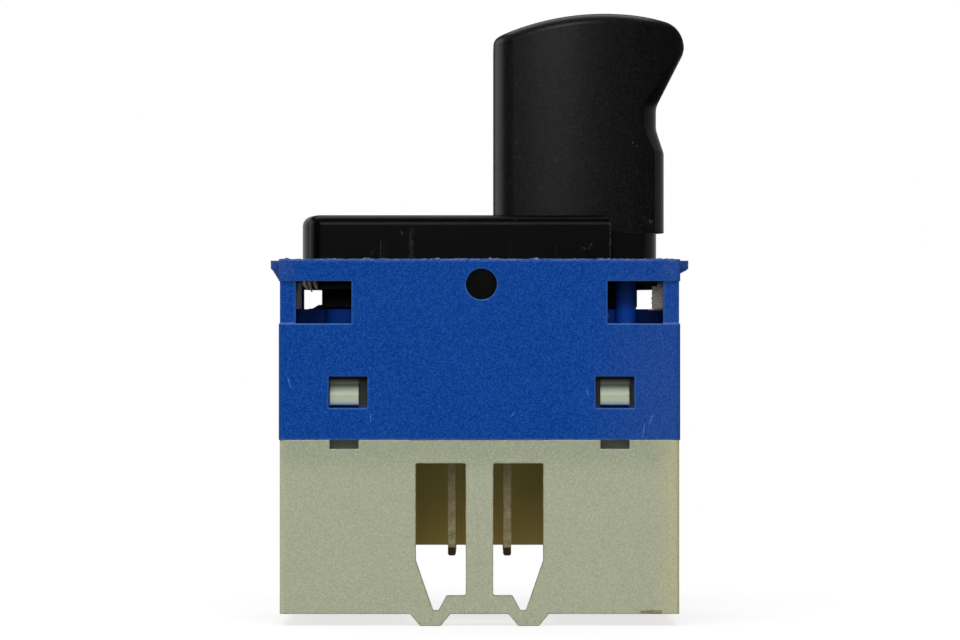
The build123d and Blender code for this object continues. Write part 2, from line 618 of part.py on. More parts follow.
def make_fixed_terminal(end, row_y):
    """A blade that rises through the floor and bends outward under the seesaw's wing."""
    top = FIXED_CONTACT_Z
    blade = make_blade(end * TERMINAL_ROW_X, row_y, top)
    root = end * (TERMINAL_ROW_X - TERMINAL_THICKNESS / 2)
    tip = PIVOT_X + end * (CONTACT_ARM + FIXED_CONTACT_HALF + TERMINAL_MARGIN)
    half_w = TERMINAL_WIDTH / 2
    body = blade + slab(root, tip, row_y - half_w, row_y + half_w, top - TERMINAL_THICKNESS, top)
    bend = body.edges().filter_by(Axis.Y).sort_by_distance((root, row_y, top))[0]
    return fillet(bend, TERMINAL_BEND_R)


def make_fixed_contact(end, row_y):
    """The contact pad on a fixed terminal, under the seesaw's wing."""
    side = 2 * FIXED_CONTACT_HALF
    pad = Box(side, side, FIXED_CONTACT_HEIGHT, align=(Align.CENTER, Align.CENTER, Align.MIN))
    return Pos(PIVOT_X + end * CONTACT_ARM, row_y, FIXED_CONTACT_Z) * pad


def make_common_terminal(row_y):
    """A middle blade with a strip along the floor to the knife edge that carries a seesaw."""
    side = 1 if row_y > 0 else -1
    blade_x = side * TERMINAL_ROW_X
    strip_top = FLOOR_TOP_Z + TERMINAL_THICKNESS
    half_w = TERMINAL_WIDTH / 2
    body = make_blade(blade_x, 0, strip_top)
    run_half = TERMINAL_THICKNESS
    arm_y = half_w - COMMON_ARM_WIDTH
    tab_half_w = SEESAW_WIDTH / 2 - CHEEK_THICKNESS - CHEEK_GAP
    body += slab(
        blade_x, PIVOT_X - side * run_half, side * arm_y, side * half_w, FLOOR_TOP_Z, strip_top
    )
    body += slab(
        PIVOT_X - run_half, PIVOT_X + run_half,
        side * arm_y, row_y + side * tab_half_w, FLOOR_TOP_Z, strip_top,
    )
    tab = slab(
        PIVOT_X - TERMINAL_THICKNESS / 2, PIVOT_X + TERMINAL_THICKNESS / 2,
        row_y - tab_half_w, row_y + tab_half_w, FLOOR_TOP_Z, FLOOR_TOP_Z + FULCRUM_HEIGHT,
    )
    knife = tab.edges().filter_by(Axis.Y).group_by(Axis.Z)[-1]
    return body + fillet(knife, KNIFE_R)


def make_parts():
    parts = {
        "frame": make_frame(),
        "base": make_base(),
        "rocker": make_rocker(),
        "knob": make_knob(),
    }
    for row, row_y in ROWS.items():
        parts[f"plunger_{row}"] = make_plunger(row_y)
        parts[f"plunger_spring_{row}"] = make_spring(row_y)
        parts[f"seesaw_{row}"] = make_seesaw(row_y)
        parts[f"moving_contacts_{row}"] = make_moving_contacts(row_y)
        parts[f"common_terminal_{row}"] = make_common_terminal(row_y)
        for end, end_name in ((-1, "left"), (1, "right")):
            parts[f"fixed_terminal_{row}_{end_name}"] = make_fixed_terminal(end, row_y)
            parts[f"fixed_contact_{row}_{end_name}"] = make_fixed_contact(end, row_y)
    return parts


os.makedirs("parts", exist_ok=True)
for name, shape in make_parts().items():
    export_step(shape, f"parts/{name}.step")
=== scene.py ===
# %% [markdown]
# # Dressing a power window switch
#
# The switch arrives as a finished CAD model: two housings clipped together, a rocker with a tall
# finger knob, and the springs and contacts inside. Blender adds what CAD leaves out: the camera,
# the light, the look of each plastic and metal, and the small burrs and marks that use has left.
#
# Nothing in the CAD model is moved. Every place below is given in the model's own frame: x runs
# along the switch, y away from the side that is looked at, and z up from the feet. Places are in
# millimetres and Blender counts in metres, so the constant MM turns one into the other.

# %% Load the packed model
import json
import math
import bpy
import numpy as np
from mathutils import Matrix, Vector


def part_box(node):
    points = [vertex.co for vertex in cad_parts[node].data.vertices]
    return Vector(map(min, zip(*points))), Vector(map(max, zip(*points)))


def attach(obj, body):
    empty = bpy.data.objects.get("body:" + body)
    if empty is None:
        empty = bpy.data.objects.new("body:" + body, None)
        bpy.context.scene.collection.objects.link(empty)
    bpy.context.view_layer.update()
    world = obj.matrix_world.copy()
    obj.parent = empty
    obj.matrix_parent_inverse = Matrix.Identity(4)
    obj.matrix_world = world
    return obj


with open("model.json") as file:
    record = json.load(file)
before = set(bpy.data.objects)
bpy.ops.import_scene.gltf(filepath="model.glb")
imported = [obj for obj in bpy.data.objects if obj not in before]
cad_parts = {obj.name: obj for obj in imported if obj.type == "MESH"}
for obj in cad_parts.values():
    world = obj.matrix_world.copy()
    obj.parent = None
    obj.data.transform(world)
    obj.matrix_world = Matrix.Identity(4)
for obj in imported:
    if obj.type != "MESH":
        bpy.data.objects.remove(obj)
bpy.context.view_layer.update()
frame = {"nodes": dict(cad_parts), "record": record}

MM = 0.001

# %% [markdown]
# ## Levels that the details are placed by
# A few levels describe the whole switch: the rim on top of the blue housing, the parting line where
# the pale housing begins, the feet, the tips of the blades in the socket, and the two long faces.
# They are read from the CAD model in millimetres.

# %% Read the levels
def box_in_mm(node):
    """A node's lowest and highest corner in millimetres, as two arrays."""
    low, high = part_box(node)
    return np.array(low) / MM, np.array(high) / MM


housing_low, housing_high = box_in_mm("frame")
near_y, far_y = housing_low[1], housing_high[1]
parting_z, rim_z = housing_low[2], housing_high[2]
feet_z = box_in_mm("base")[0][2]
blade_tip_z = box_in_mm("fixed_terminal_front_left")[0][2]
print("rim", round(rim_z, 2), "parting line", round(parting_z, 2), "near face", round(near_y, 2))

# %% [markdown]
# ## The camera
# The switch is looked at square on from the side, along its pivot, from about 43 cm with a long
# lens. An orthographic camera, which has no perspective, would make a true side view, but the near
# wall would cover the far one exactly. A long lens keeps the two almost the same size, so the picture
# still reads like a drawing, and lets the far wall's edges show a little through the windows.

# %% Set up the camera
VIEW_DISTANCE = 430.0  # lens to the near face, mm
VIEW_WIDTH = 96.0  # what the picture takes in at the near face, mm
SENSOR_WIDTH = 36.0  # mm
CAMERA_X, CAMERA_HEIGHT = 0.05, 30.6  # mm
CLIP_START, CLIP_END = 0.01, 20.0  # nearest and farthest thing that is drawn, m

lens = bpy.data.cameras.new("long_lens")
lens.sensor_width = SENSOR_WIDTH
lens.lens = SENSOR_WIDTH * VIEW_DISTANCE / VIEW_WIDTH
lens.clip_start, lens.clip_end = CLIP_START, CLIP_END
camera = bpy.data.objects.new("camera", lens)
camera.location = np.array([CAMERA_X, near_y - VIEW_DISTANCE, CAMERA_HEIGHT]) * MM
camera.rotation_euler = (math.radians(90), 0, 0)  # level, looking along y
bpy.context.scene.collection.objects.link(camera)
bpy.context.scene.camera = camera
bpy.context.scene.view_settings.view_transform = "Standard"
print("lens", round(lens.lens, 1), "mm")

# %% [markdown]
# ## Shader sums in plain Python
# A Blender material is a graph of nodes. It could be drawn in the shader editor, or wired node by
# node in Python, where a sum such as `1 - mask * 0.5` takes many lines. Here one small class wraps
# a socket and lets Python's own operators add the Math nodes, so a pattern reads like its formula. A
# second class is the material itself, with one method that adds any other node.

# %% A socket that can be added and multiplied
class Signal:
    """One shader socket. An operator on it adds a Math node and gives that node's output."""

    def __init__(self, finish, socket):
        self.finish, self.socket = finish, socket

    def math(self, operation, *others):
        """A Math node whose first value is this signal."""
        values = dict(enumerate((self, *others)))
        return self.finish.node("ShaderNodeMath", {"operation": operation}, values)

    def __add__(self, other):
        return self.math("ADD", other)

    def __mul__(self, other):
        return self.math("MULTIPLY", other)

    def __sub__(self, other):
        return self.math("SUBTRACT", other)

    def __rsub__(self, other):
        return self.math("MULTIPLY_ADD", -1.0, other)

    __radd__ = __add__
    __rmul__ = __mul__

    def larger(self, other):
        """The larger of the two."""
        return self.math("MAXIMUM", other)

    def size(self):
        """The value without its sign."""
        return self.math("ABSOLUTE")

    def rise(self, start, end):
        """0 before start, 1 after end, and a smooth S between them."""
        settings = {"interpolation_type": "SMOOTHSTEP", "clamp": True}
        sockets = {"Value": self, "From Min": start, "From Max": end}
        return self.finish.node("ShaderNodeMapRange", settings, sockets)

    def within(self, low, high, soft):
        """1 between low and high, falling to 0 over a soft margin outside them."""
        return self.rise(low - soft, low) * (1 - self.rise(high, high + soft))

    def sibling(self, output):
        """Another output of the node that this socket belongs to."""
        return Signal(self.finish, self.socket.node.outputs[output])


print("operations on a socket:", [name for name in vars(Signal) if not name.startswith("__")])

# %% [markdown]
# The Mix node keeps one set of sockets for each kind of data. The four numbers at the top of the
# next cell are the places of its factor, its two colours and its mixed colour.

# %% A material with one method for any node
MIX_FACTOR, MIX_FIRST, MIX_SECOND, MIX_RESULT = 0, 6, 7, 2


class Finish:
    """A node tree being built, for a material or for the world."""

    def __init__(self, tree):
        self.tree = tree
        tree.nodes.clear()

    def node(self, kind, settings=None, sockets=None, output=0):
        """Adds a node: its settings first, then the values or links of its sockets."""
        made = self.tree.nodes.new(kind)
        for name, value in (settings or {}).items():
            setattr(made, name, value)
        for name, value in (sockets or {}).items():
            if isinstance(value, Signal):
                self.tree.links.new(value.socket, made.inputs[name])
            else:
                made.inputs[name].default_value = value
        return Signal(self, made.outputs[output]) if len(made.outputs) else None

    def place(self):
        """Where on the piece a point is, in millimetres."""
        metres = self.node("ShaderNodeTexCoord", output="Object")
        return self.vector("MULTIPLY", metres, (1 / MM,) * 3)

    def vector(self, operation, first, second):
        """A sum on two vectors that gives a vector."""
        return self.node("ShaderNodeVectorMath", {"operation": operation}, {0: first, 1: second})

    def axes(self, vector):
        """The three numbers of a vector, as three signals."""
        x = self.node("ShaderNodeSeparateXYZ", None, {0: vector})
        return x, x.sibling("Y"), x.sibling("Z")

    def clouds(self, place, size, detail=2.0, rough=0.5):
        """Cloudy noise from 0 to 1; size is the clouds' width in mm, one number or one per axis."""
        sizes = (size,) * 3 if isinstance(size, (int, float)) else size
        scaled = self.vector("DIVIDE", place, sizes)
        sockets = {"Vector": scaled, "Scale": 1.0, "Detail": detail, "Roughness": rough}
        return self.node("ShaderNodeTexNoise", None, sockets)

    def blend(self, factor, first, second):
        """A colour that goes from first to second as factor goes from 0 to 1."""
        sockets = {MIX_FACTOR: factor, MIX_FIRST: first, MIX_SECOND: second}
        return self.node("ShaderNodeMix", {"data_type": "RGBA"}, sockets, MIX_RESULT)


def linear(red, green, blue):
    """A screen colour, 0 to 255, as the linear colour that shaders use.

    This is the sRGB rule: dark values are divided by 12.92, and the others raised to the power 2.4.
    """
    values = np.array([red, green, blue]) / 255
    low, high = values / 12.92, ((values + 0.055) / 1.055) ** 2.4
    return (*np.where(values <= 0.04045, low, high).tolist(), 1.0)


print("grey 128 is", round(linear(128, 128, 128)[0], 3), "in a shader")

# %% [markdown]
# ## Background, floor and light
# The background is white to the eye of the camera, while the light that falls on the switch comes
# from softboxes, a dim room and a floor that glows like a light table. A picture of a real studio,
# wrapped round the scene, could light it too. A formula needs no file, and lets each kind of ray see
# something else. Black plastic shows mostly what it mirrors, so the room that a mirror sees is dark,
# except for a white sheet straight behind the switch: flat black faces stay black, and faces that
# are almost edge-on pick up a grey line.

# %% The surround
AMBIENT = 0.3  # light from every side, for matt surfaces
DARK_ROOM = 0.012  # what a mirror sees
WHITE_SHEET = 1.0  # what it sees straight behind the switch
SHEET_EDGE = (0.93, 0.985)  # the sheet fades in between these parts of a direction along y

world = bpy.data.worlds.new("studio")
bpy.context.scene.world = world
world.use_nodes = True
surround = Finish(world.node_tree)
direction = surround.axes(surround.node("ShaderNodeTexCoord", output="Generated"))
camera_ray = surround.node("ShaderNodeLightPath", output="Is Camera Ray")
glossy_ray = camera_ray.sibling("Is Glossy Ray")
seen = camera_ray.larger(camera_ray.sibling("Is Transmission Ray"))
mirrored = DARK_ROOM + (WHITE_SHEET - DARK_ROOM) * direction[1].rise(*SHEET_EDGE)
unseen = glossy_ray * mirrored + (1 - glossy_ray) * AMBIENT
strength = seen + (1 - seen) * unseen
sky = surround.node("ShaderNodeBackground", None, {"Color": (1, 1, 1, 1), "Strength": strength})
surround.node("ShaderNodeOutputWorld", None, {"Surface": sky})
print("surround has", len(world.node_tree.nodes), "nodes")

# %% [markdown]
# Six softboxes stand round the switch. One large lamp would light it evenly, but glossy black is
# drawn by what it mirrors, so a lamp stands wherever an edge or a face should catch one. The key
# light from above the camera lights the near face but isn't mirrored, so that the black plastic
# stays black. The overhead sheet gives the pale line along the top edges. Of the others, the front
# strip gives one soft band down the knob, the left one lights the ends on that side, and the two
# behind lift the knob's crown and its right flank.

# %% The softboxes
SOFTBOX_DISTANCE = 0.9  # m


def softbox(name, azimuth, elevation, width, height, watts, mirrored=True):
    """A rectangular lamp aimed at the switch, with its angles in degrees and its sizes in metres.

    Azimuth 0 is on the camera's side and 90 to its right. Elevation is how high the lamp stands.
    """
    turn, lift = math.radians(azimuth), math.radians(elevation)
    away = Vector((math.sin(turn) * math.cos(lift), -math.cos(turn) * math.cos(lift), math.sin(lift)))
    lamp = bpy.data.lights.new(name, "AREA")
    lamp.shape, lamp.size, lamp.size_y, lamp.energy = "RECTANGLE", width, height, watts
    box = bpy.data.objects.new(name, lamp)
    box.location = Vector((0, 0, CAMERA_HEIGHT * MM)) + away * SOFTBOX_DISTANCE
    box.rotation_mode = "QUATERNION"
    box.rotation_quaternion = away.to_track_quat("Z", "Y")
    box.visible_glossy = mirrored
    bpy.context.scene.collection.objects.link(box)


softbox("key_softbox", -6, 52, 1.1, 0.6, 8.3, mirrored=False)
softbox("overhead_sheet", 180, 80, 1.1, 0.6, 2.2)
softbox("front_strip", -4, 20, 0.2, 0.34, 0.75)
softbox("left_softbox", -106, 14, 1.0, 0.6, 2.2)
softbox("back_right_softbox", 150, 14, 0.4, 0.6, 0.07)
softbox("back_top_softbox", 180, 62, 0.9, 0.3, 1.6)

# %% [markdown]
# The floor is a sheet of paper that looks white to the camera, dark to a mirror, and gives some light
# back to the switch. Plain matt paper would need very strong lamps to look white, and would show a
# heavy shadow. So most of its white is a glow, and only a quarter of it, near the switch, is lit by
# the softboxes: the shadow there is faint, and further out there is none.

# %% The floor
FLOOR_REACH = 3.0  # half the floor's width, m
FLOOR_GLOW = 0.5  # how much light the floor gives back to the switch
PAPER_WHITE = 0.85
SHADOW_SHARE = 0.25  # how much of the floor's white is lit, and so can be shaded
SHADOW_RADIUS = (50.0, 160.0)  # the shaded part fades out between these distances, mm

corners = np.array([[-1, -1, 0], [1, -1, 0], [1, 1, 0], [-1, 1, 0]]) * FLOOR_REACH
floor_mesh = bpy.data.meshes.new("floor")
floor_mesh.from_pydata(corners.tolist(), [], [(0, 1, 2, 3)])
floor = bpy.data.objects.new("floor", floor_mesh)
bpy.context.scene.collection.objects.link(floor)

paper = bpy.data.materials.new("white_paper")
paper.use_nodes = True
sheet = Finish(paper.node_tree)
distance = sheet.node("ShaderNodeVectorMath", {"operation": "LENGTH"}, {0: sheet.place()}, "Value")
share = SHADOW_SHARE * (1 - distance.rise(*SHADOW_RADIUS))
camera_ray = sheet.node("ShaderNodeLightPath", output="Is Camera Ray")
glossy_ray = camera_ray.sibling("Is Glossy Ray")
white = camera_ray + (1 - camera_ray) * (1 - glossy_ray) * FLOOR_GLOW
matt = sheet.node("ShaderNodeBsdfDiffuse", None, {"Color": (*(PAPER_WHITE,) * 3, 1)})
glow = sheet.node("ShaderNodeEmission", None, {"Color": (1, 1, 1, 1), "Strength": white})
both = sheet.node("ShaderNodeMixShader", None, {"Fac": camera_ray * share, 1: glow, 2: matt})
sheet.node("ShaderNodeOutputMaterial", None, {"Surface": both})
floor.data.materials.append(paper)
print("floor is", 2 * FLOOR_REACH, "m wide")

# %% [markdown]
# ## Patterns that all the finishes share
# Moulded plastic is never one flat colour. It has a faint cloudiness, a fine grain from the mould's
# spark-eroded steel, edges that are softly rounded and painted pale, on the blue openings as a painted
# highlight, and a few scratches. All that could be painted into an image and wrapped round each
# piece. Noise that reads a point's own place needs no wrapping, has no seam and stays sharp close up.
# Each pattern is one function here, so that the blue, pale and black plastics differ only in their
# numbers. Most of them use `rise`, which turns a number into a mask: 0 before its start and 1 after
# its end.

# %% Starting and ending a material
def start_finish(name):
    """Starts a material and gives its finish and the place on the piece."""
    material = bpy.data.materials.new(name)
    material.use_nodes = True
    finish = Finish(material.node_tree)
    return material, finish, finish.place()


def coat(finish, material, colour, rough, normal, metallic=0.0, shine=0.5):
    """Ends a material with one Principled surface."""
    sockets = {"Base Color": colour, "Roughness": rough, "Normal": normal}
    sockets.update({"Metallic": metallic, "Specular IOR Level": shine})
    skin = finish.node("ShaderNodeBsdfPrincipled", None, sockets)
    finish.node("ShaderNodeOutputMaterial", None, {"Surface": skin})
    print(material.name, "has", len(material.node_tree.nodes), "nodes")
    return material


finishes = {}  # a material for each slot, filled in below


# %% Edges, scratches, specks and grain
EDGE_BEND = 0.12  # an edge counts in full once its two directions disagree by this much
STREAK_SOFTNESS = 0.06  # a streak's edge, as a part of the noise's range
MARKS_END_Y = (-4.0, -3.0)  # marks on the near side fade out between these, mm


def rounded_edge(finish, radius):
    """The surface's direction as if its edges were rounded, and a mask that is 1 on those edges.

    The mask is one minus how well the rounded direction agrees with the true one, made stronger.
    """
    soft = finish.node("ShaderNodeBevel", {"samples": 6}, {"Radius": radius * MM})
    true = finish.node("ShaderNodeNewGeometry", output="True Normal")
    pair = {0: soft, 1: true}
    agree = finish.node("ShaderNodeVectorMath", {"operation": "DOT_PRODUCT"}, pair, "Value")
    return soft, (1 - agree).rise(0.0, EDGE_BEND)


def streaks(finish, place, angle, length, width, amount):
    """Fine straight scratches at an angle from upright, as noise stretched along one direction."""
    turn = (0, math.radians(angle), 0)
    turned = finish.node("ShaderNodeMapping", None, {"Vector": place, "Rotation": turn})
    lines = finish.clouds(turned, (width, width * 4, length), 1.0, 0.4)
    return lines.rise(1 - amount, 1 - amount + STREAK_SOFTNESS)


def scratch(finish, place, start, end, width):
    """One straight mark between two points (x, z) in mm on the near side: 1 on it, 0 beside it.

    Along is how far a point is from the start in the mark's direction, and across how far it is
    beside it. The mark is full up to a fifth of its width from its middle, and gone at three fifths.
    """
    x, y, z = finish.axes(place)
    run = np.array(end) - np.array(start)
    length = float(np.hypot(*run))
    along_x, along_z = (run / length).tolist()
    along = (x - start[0]) * along_x + (z - start[1]) * along_z
    across = (x - start[0]) * along_z - (z - start[1]) * along_x
    line = along.within(0, length, width) * (1 - across.size().rise(width * 0.2, width * 0.6))
    return line * (1 - y.rise(*MARKS_END_Y))


def speckle(finish, place, base, dark, light, strength, size=0.13):
    """A colour broken up by specks: the noise's low values turn dark and its high ones light."""
    specks = finish.clouds(place, size, 2.0, 0.7)
    darker = finish.blend((1 - specks.rise(0.30, 0.52)) * strength, base, dark)
    return finish.blend(specks.rise(0.48, 0.70) * strength, darker, light)


def grain(finish, place, size, depth, normal):
    """A fine pebbled relief: noise of that size in mm, raised by depth in mm."""
    relief = finish.clouds(place, size, 2.0, 0.6)
    sockets = {"Height": relief, "Distance": depth * MM, "Strength": 1.0, "Normal": normal}
    return finish.node("ShaderNodeBump", None, sockets)


print("an edge counts in full at a bend of", round(math.degrees(math.acos(1 - EDGE_BEND))), "degrees")

# %% [markdown]
# ## The blue housing
# The frame is moulded in a deep blue. Its top rim has been rubbed by the panel it clips into and by
# the rocker, and shows a frayed, greyish line. The upper corners and the catch lips are worn dull,
# and the lower edge where it meets the other housing is worn pale. The edges of the openings and the
# corner windows' sills are painted pale, as painted highlights where light catches them. Inside, the
# blue is painted much darker, as painted shade where no light falls, and one jamb takes a grey
# painted reflection.
#
# Such wear could be painted on by hand. Here each worn place is a mask, a band in x, y or z times
# ragged noise, because a mask can be read, moved and made stronger by one number. The bands come
# first. A pair is where a look begins and where it has fully set in, in millimetres, and a drop is
# measured down from the rim, so that it follows the rim if the housing is made taller.

# %% Where the blue changes
INNER_FACE_X, INNER_FACE_Y = (18.65, 18.8), (9.72, 9.8)  # the painted shade inside ends just past the walls' inner faces
SHADE_TOP_Z = (31.2, 32.6)  # the painted shade is darkest from about the inner ledge up
SHADE_END_X = (15.2, 16.8)  # and darker painted shade towards either end of the inside
REFLECTING_JAMB_X, REFLECTING_JAMB_Z = (17.0, 17.1), (31.6, 34.3)  # a grey strip in the right window, a painted reflection of the white behind at a grazing angle
HAZE_X, HAZE_Z = (8.0, 20.0), (22.0, 36.0)  # a haze that grows to the right and thins upwards
LIP_X = (20.15, 20.3)  # the catch lips, which stand out past the end walls
WORN_END_X, WORN_END_DROP = (17.6, 19.6), (2.6, 1.2)  # the worn upper corners
RIM_DROP, TOP_DROP = (0.36, 0.1), (0.06, 0.0)  # the rubbed rim, and the frayed line on top of it
TOP_LINE_Y = (0.45, 0.55)  # where that line ends, from the near face
HIGHLIGHT_FADE_DROP = (0.5, 0.3)  # the painted highlight on the openings' edges gives way to the rim here
FOOT_RISE = (0.04, 0.22)  # the worn lower edge, up from the parting line
SILL_DROP, SILL_X = (6.5, 6.42), (12.6, 13.0)  # the corner windows' sills, which get a painted highlight
BLUE_MARKS = (  # start and end (x, z) in mm, width in mm
    ((16.3, 18.9), (16.5, 20.1), 0.12),
    ((16.95, 20.2), (17.3, 21.0), 0.12),
    ((-19.15, 24.8), (-18.9, 23.8), 0.14),
    ((12.8, 31.7), (13.0, 30.9), 0.12),
    ((10.75, 23.6), (10.85, 23.1), 0.12),
    ((3.2, 21.0), (3.4, 21.25), 0.16),
    ((-10.9, 21.2), (-10.85, 20.4), 0.12),
)


def under_rim(drop):
    """A pair of drops from the rim, as a pair of heights."""
    return rim_z - drop[0], rim_z - drop[1]


print("marks on the blue housing", len(BLUE_MARKS))


# %% The blue before wear, and the painted shade inside
def clean_blue(finish, place, mottle):
    """The outside before wear: mottled, drifting in tone, hazy towards one end, and speckled."""
    x, _, z = finish.axes(place)
    drift = finish.clouds(place, 6.0, 2.0)
    blue = finish.blend(mottle.rise(0.25, 0.75), linear(0, 55, 136), linear(6, 69, 151))
    blue = finish.blend(drift.rise(0.5, 0.8) * 0.4, blue, linear(14, 68, 146))
    haze = x.rise(*HAZE_X) * (1 - z.rise(*HAZE_Z) * 0.6) * 0.09
    blue = finish.blend(haze, blue, linear(118, 118, 130))
    return speckle(finish, place, blue, linear(0, 42, 116), linear(46, 96, 174), 0.6)


def inside_shade_and_reflection(finish, place, blue, inside):
    """Blue with painted shade inside, darkest above the ledge and at the ends, and a grey painted
    reflection on one jamb.
    """
    x, _, z = finish.axes(place)
    # painted shade: the inside is painted dark blue, darker still above the ledge and at the ends
    shade = finish.blend(z.rise(*SHADE_TOP_Z), linear(4, 52, 134), linear(2, 22, 66))
    shade = finish.blend(x.size().rise(*SHADE_END_X) * 0.85, shade, linear(4, 22, 80))
    blue = finish.blend(inside * 0.85, blue, shade)
    # painted reflection: a grey strip on the right window's jamb stands for the white behind, mirrored at
    # a grazing angle
    jamb = inside * x.rise(*REFLECTING_JAMB_X) * z.within(*REFLECTING_JAMB_Z, 0.1)
    reflection_mottle = finish.clouds(place, 0.14, 3.0, 0.7).rise(0.3, 0.65)
    reflected_grey = finish.blend(reflection_mottle, linear(88, 82, 76), linear(142, 136, 126))
    return finish.blend(jamb, blue, reflected_grey)


print("the inside is dark up to x", INNER_FACE_X[0], "and y", INNER_FACE_Y[0], "from the middle")


# %% Blue plastic
def blue_plastic():
    """The unworn blue with painted shade inside, and on top of them what wear has left, with painted
    highlights on the openings' edges and sills.
    """
    material, finish, place = start_finish("blue_plastic")
    x, y, z = finish.axes(place)
    soft, edge = rounded_edge(finish, 0.34)
    mottle = finish.clouds(place, 0.28, 3.0, 0.7)
    fray = finish.clouds(place, (0.5, 0.5, 0.25), 3.0, 0.7)
    inside = (1 - y.size().rise(*INNER_FACE_Y)) * (1 - x.size().rise(*INNER_FACE_X))
    blue = inside_shade_and_reflection(finish, place, clean_blue(finish, place, mottle), inside)
    lip = x.size().rise(*LIP_X)
    blue = finish.blend(lip * 0.5, blue, linear(14, 42, 96))

    near_side = 1 - y.rise(near_y + 1.0, 4.0)
    # painted highlight: the edges of the openings are painted pale blue, as light catching their rounded
    # edges, fading towards the rim
    highlight_fade = 1 - z.rise(*under_rim(HIGHLIGHT_FADE_DROP)) * 0.7
    edge_highlight = edge * highlight_fade * fray.rise(0.15, 0.55) * (1 - inside)
    colour = finish.blend(edge_highlight * 0.8, blue, linear(66, 112, 180))

    rim = z.rise(*under_rim(RIM_DROP)) * fray.rise(0.36, 0.62)
    end = x.size().rise(*WORN_END_X) * z.rise(*under_rim(WORN_END_DROP)) * (1 - lip)
    foot = (1 - z.rise(parting_z + FOOT_RISE[0], parting_z + FOOT_RISE[1])) * fray.rise(0.40, 0.62)
    # painted highlight: a pale line along the corner windows' sills, where light catches them; the other
    # pale patches are wear
    sill = z.within(*under_rim(SILL_DROP), 0.05) * x.size().rise(*SILL_X) * (1 - inside)
    wear_and_sill_highlight = (rim * 0.3).larger(lip * (1 - x.rise(0, 1) * 0.6) * mottle.rise(0.2, 0.8) * 0.3)
    wear_and_sill_highlight = wear_and_sill_highlight.larger(end * fray.rise(0.25, 0.75) * 0.14).larger(foot * 0.4).larger(sill * 0.3)
    colour = finish.blend(wear_and_sill_highlight * (0.4 + near_side * 0.6), colour, linear(122, 132, 152))

    leaning_right = streaks(finish, place, 24, 4.0, 0.05, 0.24)
    leaning_left = streaks(finish, place, -38, 3.0, 0.05, 0.23)
    marks = leaning_right.larger(leaning_left) * 0.12
    for start, stop, width in BLUE_MARKS:
        mark = scratch(finish, place, start, stop, width)
        marks = marks.larger(mark * fray.rise(0.35, 0.55) * 0.35)
    colour = finish.blend(marks, colour, linear(130, 164, 208))

    top = z.rise(*under_rim(TOP_DROP)) * (1 - y.rise(near_y + TOP_LINE_Y[0], near_y + TOP_LINE_Y[1]))
    frayed = top * near_side * (0.06 + fray.rise(0.46, 0.6) * 0.64)
    colour = finish.blend(frayed, colour, linear(146, 166, 200))
    rough = 0.45 + mottle * 0.12 + wear_and_sill_highlight * 0.2
    return coat(finish, material, colour, rough, grain(finish, place, 0.15, 0.006, soft), shine=0.06)


finishes["blue_housing"] = blue_plastic()

# %% [markdown]
# ## The pale housing
# The base is a grey green plastic that has yellowed a little towards one end. It is matt, with a
# few dust specks, a brown stain near one lower corner, and grime along the lower edge. The inside
# of the socket is painted a warm brown, lighter higher up as painted light, and its edges carry lines
# of painted shade. Its tower stands inside the blue frame, and its hooks look out of the frame's
# latch windows, painted pale against the wall behind them, which is painted in shadow.
#
# The socket and the tower could have materials of their own, given to the faces there. A mask that
# reads the place needs no picking of faces, and lets one look run softly into the next.

# %% Where the pale plastic changes
UNDER_SEAM_Z = (14.6, 17.6)  # greyer towards the parting line
YELLOW_END_X, END_EDGE_X = (17.0, 19.9), (19.3, 20.0)
SOCKET_Y, SOCKET_X, SOCKET_Z = (9.42, 9.55), (6.9, 7.1), (16.6, 16.8)  # the socket, painted warm brown
BROWN_Z = (8.0, 15.0)  # painted light: the socket's brown is painted lighter higher up, over these heights
SEAM_RISE = (0.02, 0.1)  # above the parting line, what shows is the tower or a hook
TOWER_Y = (9.45, 10.1)  # the tower's wall ends here and the hooks begin, from the middle
HOOK_X, HOOK_RISE = (12.25, 14.95), (3.5, 5.6)  # the hooks, and their height over the parting line
FEET_HEIGHT = 1.2  # from the feet to the lower edge
STAIN_X = (16.2, 18.1)
SOCKET_EDGE_X = (6.8, 7.4)  # painted shade along the socket's edges, where the wall's thickness shows in shadow, up to here
seam_z = (parting_z + SEAM_RISE[0], parting_z + SEAM_RISE[1])
hook_low, hook_high = parting_z + HOOK_RISE[0], parting_z + HOOK_RISE[1]
low_edge_z = feet_z + FEET_HEIGHT
print("hooks from", round(hook_low, 2), "to", round(hook_high, 2), "lower edge", round(low_edge_z, 2))


# %% The pale body, the socket and the tower
def clean_pale(finish, place, mottle):
    """The outside before its stains and grime: mottled, greyer at the top, yellower at one end, and
    speckled.
    """
    x, _, z = finish.axes(place)
    drift = finish.clouds(place, 9.0, 2.0)
    pale = finish.blend(mottle.rise(0.2, 0.8), linear(160, 164, 140), linear(169, 173, 148))
    pale = finish.blend(drift.rise(0.45, 0.75) * 0.35, pale, linear(168, 172, 143))
    pale = finish.blend(z.rise(*UNDER_SEAM_Z) * 0.7, pale, linear(145, 152, 129))
    pale = finish.blend(x.rise(*YELLOW_END_X) * 0.8, pale, linear(180, 178, 138))
    pale = finish.blend(x.size().rise(*END_EDGE_X) * 0.5, pale, linear(186, 188, 154))
    return speckle(finish, place, pale, linear(142, 146, 122), linear(192, 195, 170), 0.52)


def warm_brown_socket(finish, place, pale):
    """Pale plastic, painted warm brown inside the socket."""
    x, y, z = finish.axes(place)
    middle = (1 - y.size().rise(*SOCKET_Y)) * (1 - x.size().rise(*SOCKET_X))
    socket = middle * (1 - z.rise(*SOCKET_Z))
    # painted light: the brown is painted lighter higher up in the socket
    brown = finish.blend(z.rise(*BROWN_Z), linear(188, 166, 90), linear(200, 188, 112))
    return finish.blend(socket * 0.95, pale, brown)


